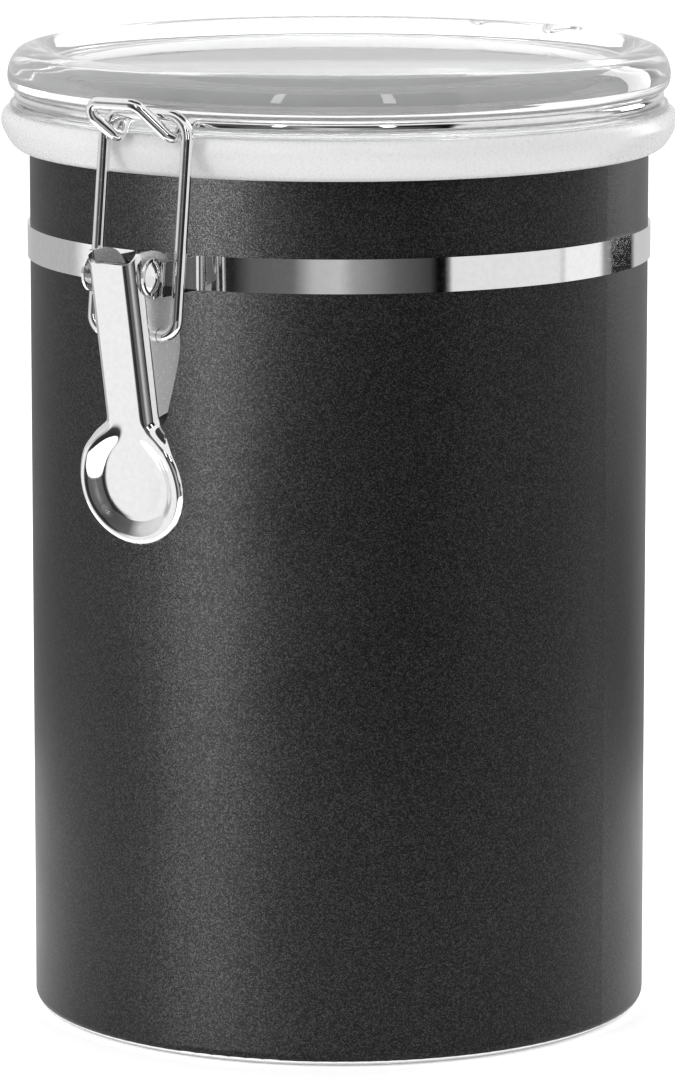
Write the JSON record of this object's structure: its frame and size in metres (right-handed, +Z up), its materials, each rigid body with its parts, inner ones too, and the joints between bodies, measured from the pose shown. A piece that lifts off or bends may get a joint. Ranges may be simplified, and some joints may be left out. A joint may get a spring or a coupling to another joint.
{
  "type": "food canister",
  "caption": "Round steel storage canister with a clear hinged lid, a soft gasket, and a wire bail and lever latch that clamps the lid shut.",
  "frame": {"origin": "centre of the can's base, on the surface that it stands on", "axes": "+Z up along the can's axis; the latch is at -Y and the hinge at +Y"},
  "size_m": [0.1298, 0.1474, 0.187],
  "materials": {
    "painted_steel": "fine metallic black, semi-matte",
    "bare_steel": "bare stainless steel",
    "bright_steel": "polished stainless steel sheet",
    "bright_wire": "polished stainless steel wire",
    "silicone": "translucent pale silicone",
    "clear_plastic": "clear acrylic"
  },
  "bodies": {
    "canister": {"canister_shell": "painted_steel", "base_pan": "bare_steel", "clamp_band": "bright_steel", "band_saddle": "bright_steel", "hinge_bracket": "bright_steel", "hinge_rivets": "bright_steel", "lever_rivet": "bright_steel", "lever_spacer": "bare_steel"},
    "lid": {"lid_cover": "clear_plastic", "lid_gasket": "silicone", "lid_ring": "bright_wire"},
    "lever": {"latch_lever": "bright_steel"},
    "bail": {"bail_wire": "bright_wire"}
  },
  "joints": [
    {"name": "lid_hinge", "type": "hinge", "parent": "canister", "child": "lid", "pos_m": [0, 0.0655, 0.15], "axis": [-1, 0, 0], "range_deg": [0, 110]},
    {"name": "lever_pivot", "type": "hinge", "parent": "canister", "child": "lever", "pos_m": [0, -0.0745, 0.1506], "axis": [-1, 0, 0], "range_deg": [0, 95]},
    {"name": "bail_pivot", "type": "hinge", "parent": "lever", "child": "bail", "pos_m": [0, -0.0709, 0.1394], "axis": [-1, 0, 0], "range_deg": [-166.25, 0]}
  ],
  "couplings": [
    {"joint": "bail_pivot", "follows": "lever_pivot", "ratio": -1.75}
  ]
}
